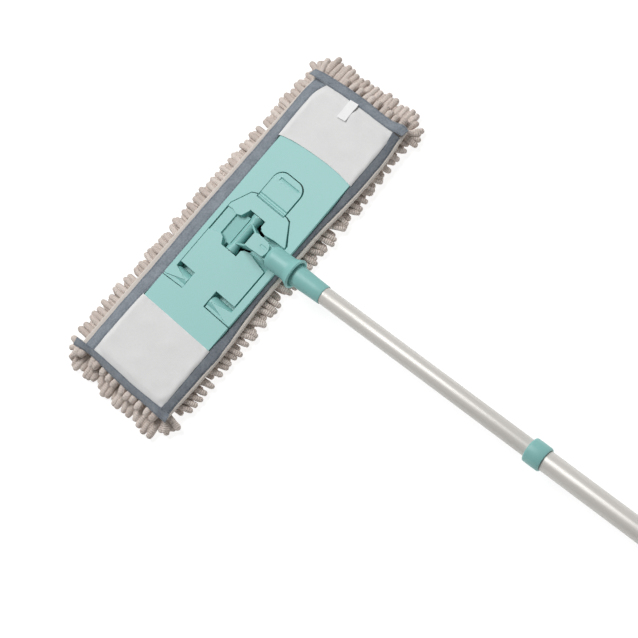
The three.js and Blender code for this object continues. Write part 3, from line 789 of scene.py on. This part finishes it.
def cloth_side(x, way, hem, outer, inner, level, under_tape):
    """One side of the ground cloth as (y, z) points: hem, rise under the tape, and foot."""
    past = max(0, (x - 170) / 6, (-188 - x) / 4)
    high = TAPE_RISE(x) - 3.4 - 2.6 * min(1, past)
    crest = 0.8 if way < 0 else 1.2
    points = hem_roll(hem(x) + 0.1 * math.sin(x / 1.3), way)
    points += [(outer(x) - way * 0.6, under_tape), (inner(x) + way * crest, high)]
    return points + [(inner(x) + way * 0.2, high - 3), (inner(x), max(level, 17.2))]


def make_ground_cloth():
    """Beige ground cloth: flat under the plate, curled up beside it, with a rolled hem."""
    left, middle, right = (-198, -185, 12), (-181, 165, 110), (168, 187, 14)
    rows = []
    for x in np.concatenate([np.linspace(*part) for part in (left, middle, right)]):
        level = CLOTH_RISE(x)
        near = cloth_side(x, -1, NEAR_HEM, NEAR_OUT, NEAR_IN, level, 18.2)
        far = cloth_side(x, 1, FAR_HEM, FAR_OUT, FAR_IN, level, 18.6)
        flat = [(y, level) for y in np.linspace(NEAR_IN(x) + 1.6, FAR_IN(x) - 1.6, 16)]
        rows.append([(trimmed(x, y), y, z) for y, z in near + flat + far[::-1]])
    obj = sheet_mesh("ground_cloth", rows)
    modify(obj, "SOLIDIFY", thickness=0.9 * MM, offset=-1)
    clean_normals(obj)
    smooth(obj, 60)
    dress(obj, beige_weave, "beige_cloth", None, "backing_main", "backing_tail")
    return across_fold(obj)


def make_label():
    """A blank care label sewn in under the end tape, its free end a little curled."""
    rows = []
    for t in np.linspace(0, 1, 16):
        x = 154.4 + t * 22.5
        height = PLATE_TOP + 1.7 + 0.9 * (1 - t) ** 3
        sewn_down = 2.2 * max(0, t - 0.6)
        row = []
        for v in np.linspace(0, 1, 9):
            wave = 0.25 * math.sin(t * 9 + v * 3)
            row.append((x + 1.2 * v, 10.6 - 10.6 * v + 1.2 * t, height + wave - sewn_down))
        rows.append(row)
    obj = sheet_mesh("blank_label", rows)
    modify(obj, "SOLIDIFY", thickness=0.25 * MM, offset=1)
    clean_normals(obj)
    smooth(obj, 60)
    dress(obj, label_satin, "pocket_cloth", "window_frame", "label")


# ---- chenille fingers ------------------------------------------------------------------

FINGER_SIDES = 8
PILE_FOLD = 26  # fingers rooted this near the fold go into a piece of their own, on no body
# Rings of a finger from its tip: share of its length, distance back in radii, width.
FINGER_RINGS = [
    (1, 0, 0), (1, 0.14, 0.52), (1, 0.45, 0.85), (1, 1.05, 1), (0.66, 0, 1), (0.44, 0, 1),
    (0.22, 0, 1), (0.06, 0, 0.85), (0, 0, 0),
]


def finger_pattern():
    """One finger's cord, modelled as a ball whose rings are then spaced along it."""
    bpy.ops.object.select_all(action="DESELECT")
    spans = len(FINGER_RINGS) - 1
    bpy.ops.mesh.primitive_uv_sphere_add(segments=FINGER_SIDES, ring_count=spans, radius=1)
    obj = bpy.context.object
    co = np.array([v.co for v in obj.data.vertices], float)
    faces = [tuple(p.vertices) for p in obj.data.polygons]
    bpy.data.objects.remove(obj)
    ring = np.rint(np.arccos(np.clip(co[:, 2], -1, 1)) / math.pi * spans).astype(int)
    share, back, width = np.array(FINGER_RINGS, float)[ring].T
    radius = np.maximum(np.hypot(co[:, 0], co[:, 1]), 1e-6)
    sideways, up = co[:, 0] / radius * width, co[:, 1] / radius * width
    return np.column_stack((sideways, up, share, back)), faces


def bent(pattern, root, tip, sag, radius, rng):
    """The pattern laid along a curve from root to tip that bulges by sag.

    Gives its points, and how far along the cord each one is.
    """
    root, tip, sag = np.array(root, float), np.array(tip, float), np.array(sag, float)
    length = np.linalg.norm(tip - root)
    t = pattern[:, 2:3] - pattern[:, 3:4] * radius / length
    middle = (root + tip) / 2 + sag
    path = (1 - t) ** 2 * root + 2 * t * (1 - t) * middle + t * t * tip
    ahead = 2 * (1 - t) * (middle - root) + 2 * t * (tip - middle)
    ahead /= np.linalg.norm(ahead, axis=1, keepdims=True)
    side = np.cross(ahead, (0, 0, 1.0))
    side /= np.maximum(np.linalg.norm(side, axis=1, keepdims=True), 1e-6)
    lift = np.cross(side, ahead)
    phase = rng.uniform(0, 6.28)
    swell = 0.05 * np.sin(t[:, 0] * rng.uniform(14, 20) + phase)
    rough = 0.025 * rng.standard_normal(len(pattern))
    r = radius * (1 + swell + rough)[:, None]
    return path + side * pattern[:, 0:1] * r + lift * pattern[:, 1:2] * r, t[:, 0] * length * MM


def finger_piece(name, fingers, pattern, faces, rng):
    """Many fingers as one piece. Each keeps a shade of its own in the UV map."""
    co, polygons, uvs = [], [], []
    for root, tip, sag, radius in fingers:
        base = len(co) * len(pattern)
        points, along_cord = bent(pattern, root, tip, sag, radius, rng)
        co.append(points)
        shade = rng.uniform(0, 1)
        for face in faces:
            polygons.append([v + base for v in face])
            uvs += [(along_cord[v], shade) for v in face]
    obj = mesh_object(name, np.concatenate(co) * MM, polygons, uvs)
    smooth(obj, 80)
    return obj


# How far the fingers reach on each side of the pad.
NEAR_TIPS = along([
    (-205, -71.5), (-133, -70.6), (-74, -71.4), (-41, -69.4), (51, -68.8), (82, -68.2),
    (127, -65.6), (178, -61.5),
])
FAR_TIPS = along([(-205, 89), (-170, 90), (-120, 89), (40, 88), (120, 85.5), (182, 84)])
LEFT_TIPS = along([
    (-58, -220), (-43, -222), (-14, -223), (-2, -225), (21, -223), (36, -220), (51, -221),
    (72, -224),
])
RIGHT_TIPS = along([
    (-58, 209), (-29, 211), (-17, 210), (9, 209), (36, 206), (58, 207), (72, 207),
])


class Fringe:
    """The fingers round the pad's edge, each as (root, tip, sag, radius)."""

    def __init__(self, rng):
        self.rng = rng
        self.fingers = []

    def add(self, root, tip, radius, bend=1.2):
        across = np.array((tip[1] - root[1], root[0] - tip[0])) / 20
        sway = self.rng.normal(0, bend)
        self.fingers.append((root, tip, (across[0] * sway, across[1] * sway, 1.4), radius))

    def jig(self, amount):
        return self.rng.uniform(-amount, amount)

    def near_side(self):
        rng, jig = self.rng, self.jig
        for x in np.arange(-186, 180, 8.0):
            lean, lift = 4.5 + rng.normal(0, 2.2), rng.uniform(4.0, 5.2)
            px = x + jig(1.2)
            if rng.random() > 0.1:
                tip = (px + lean, NEAR_TIPS(x) + jig(1.6), lift)
                self.add((px, NEAR_HEM(x) + 5, 13.5), tip, rng.uniform(3.0, 3.5))
            tip = (px + 6 + jig(2), NEAR_TIPS(x) + 5 + jig(2), 4.2)
            self.add((px + 4, NEAR_HEM(x) + 8, 9), tip, rng.uniform(3.1, 3.6))

    def far_side(self):
        rng, jig = self.rng, self.jig
        for x in np.arange(-186, 178, 7.8):
            px = x + jig(1.3)
            tip = (px + rng.normal(0, 1.6), FAR_TIPS(x) + jig(2.2), 6.5)
            self.add((px, FAR_HEM(x) - 6, 13.5), tip, rng.uniform(3.1, 3.7))
            tip = (px + 4 + jig(2), FAR_TIPS(x) - 1.5 + jig(2), 4.4)
            self.add((px + 4, FAR_HEM(x) - 9, 9), tip, rng.uniform(3.2, 3.7))

    def left_end(self):
        rng, jig = self.rng, self.jig
        for y in np.arange(-50, 70, 7.9):
            py = y + jig(0.8)
            reach = LEFT_TIPS(y) + jig(2.6)
            tip = (reach, py + rng.normal(0, 1.6), 4.6)
            self.add((-196, py, 8.0), tip, rng.uniform(3.6, 4.1), 0.8)
            tip = (reach + 4, py + 4 + jig(2), 4.2)
            self.add((-192, py + 4, 7), tip, rng.uniform(3.4, 3.9))
        for y in np.arange(-46, 70, 9.6):
            py = y + jig(1.0)
            tip = (LEFT_OUT(y) - 9.4 + jig(1.4), py + rng.normal(0, 2.6), 16.6)
            self.add((LEFT_OUT(y) + 5, py, 16.6), tip, rng.uniform(4.2, 4.8), 1.5)

    def right_end(self):
        rng, jig = self.rng, self.jig
        for y in np.arange(-48, 66, 6.9):
            py = y + jig(0.5)
            reach = RIGHT_TIPS(y) + jig(2.2)
            tip = (reach, py + 1.0 + rng.normal(0, 1.2), 4.6)
            self.add((184, py, 8.0), tip, rng.uniform(3.2, 3.6), 0.8)
            tip = (reach - 4, py + 3.5 + jig(1.6), 4.2)
            self.add((180, py + 3.5, 7), tip, rng.uniform(3.2, 3.6))
        for y in np.arange(-44, 40, 8.6):
            py = y + jig(0.8)
            tip = (RIGHT_OUT(y) + 9.5 + jig(1.0), py + rng.normal(0, 1.5), 14.5)
            self.add((RIGHT_OUT(y) - 5, py, 16.6), tip, rng.uniform(3.7, 4.2), 1.2)

    def corner(self, sx, sy, cx, cy, long):
        """A fan of six fingers round a corner, every other one a little higher."""
        rng = self.rng
        for k in range(6):
            a = math.radians(10 + 14.5 * k + rng.normal(0, 5))
            way = (sx * math.cos(a), sy * math.sin(a))
            reach = long * rng.uniform(0.82, 1.02) * (1 if sy > 0 else 0.9)
            root = (cx - 3 * way[0], cy - 3 * way[1], 10 + 3 * (k % 2))
            tip = (cx + reach * way[0], cy + reach * way[1], 4.6 + 2 * (k % 2))
            self.add(root, tip, rng.uniform(3.3, 3.8))


CORNERS = ((-1, 1, -196, 68, 23), (-1, -1, -192, -54, 22), (1, 1, 178, 64, 24), (1, -1, 184, -50, 24))


def fringe(rng):
    """Fingers round the edge: one close row, with a second tier over the ends."""
    edge = Fringe(rng)
    edge.near_side()
    edge.far_side()
    edge.left_end()
    edge.right_end()
    for corner in CORNERS:
        edge.corner(*corner)
    return edge.fingers


def underside(rng):
    """Fingers under the pad, lying in loose rows that point away from its middle."""
    found = []
    for row, y in enumerate(np.arange(-47, 66, 8.6)):
        for x in np.arange(-186, 180, 10.5):
            px = x + (row % 2) * 5 + rng.uniform(-1.5, 1.5)
            py = y + rng.uniform(-1.2, 1.2)
            a = math.atan2(y - 8, (x + 5) * 0.35) + rng.normal(0, 0.5)
            long = rng.uniform(13, 18)
            radius = rng.uniform(3.6, 4.1)
            tip = (px + math.cos(a) * long, py + math.sin(a) * long, radius + 0.25)
            found.append(((px, py, 13.0), tip, (0, 0, -3.0), radius))
    return found


def make_pile():
    """Edge and underside fingers, each in a tail, a main and a piece round the fold."""
    rng = np.random.default_rng(11)
    pattern, faces = finger_pattern()
    groups = {"edge_pile": fringe(rng), "under_pile": underside(rng)}
    made = []
    for label, fingers in groups.items():
        near_fold = [f for f in fingers if abs(f[0][0] - FOLD_X) < PILE_FOLD]
        tail = [f for f in fingers if f[0][0] <= FOLD_X - PILE_FOLD]
        main = [f for f in fingers if f[0][0] >= FOLD_X + PILE_FOLD]
        parts = (("tail", tail, "tongue_frame"), ("main", main, "window_frame"), ("fold", near_fold, None))
        for part, chosen, body in parts:
            obj = finger_piece(f"{label}_{part}", chosen, pattern, faces, rng)
            dress(obj, tufting, "chenille", body)
            if body is None:
                across_fold(obj)
            made.append(obj)
    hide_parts("pile_tail")
    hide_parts("pile_main")
    return made


ground = make_ground_cloth()
make_pocket(
    "pocket_left", lambda y: LEFT_MOUTH, lambda y: LEFT_IN(y) - 2, PLATE_LEFT, 60,
    "tongue_frame", "pocket_tail",
)
make_pocket(
    "pocket_right", MOUTH, lambda y: RIGHT_IN(y) + 2, -60, PLATE_RIGHT,
    "window_frame", "pocket_main",
)
binding = [
    make_long_tape("binding_far", FAR_IN, FAR_OUT, 21.0, 1.0, ("tape_far_main", "tape_far_tail")),
    make_long_tape("binding_near", NEAR_IN, NEAR_OUT, 20.6, 2.3, ("tape_near_main", "tape_near_tail")),
    make_end_tape("binding_left", LEFT_IN, LEFT_OUT, (-62, 76), 0.4, "tongue_frame", "tape_end_tail"),
    make_end_tape("binding_right", RIGHT_IN, RIGHT_OUT, (-57, 69.5), 3.1, "window_frame", "tape_end_main"),
]
make_label()
pile = make_pile()
binding + pile

# ---- floor -------------------------------------------------------------------------------

bpy.ops.object.select_all(action="DESELECT")
bpy.ops.mesh.primitive_plane_add(size=14, location=(0, 0, -0.0004))
floor = bpy.context.object
floor.name = "floor"
floor.data.materials.append(floor_paint())
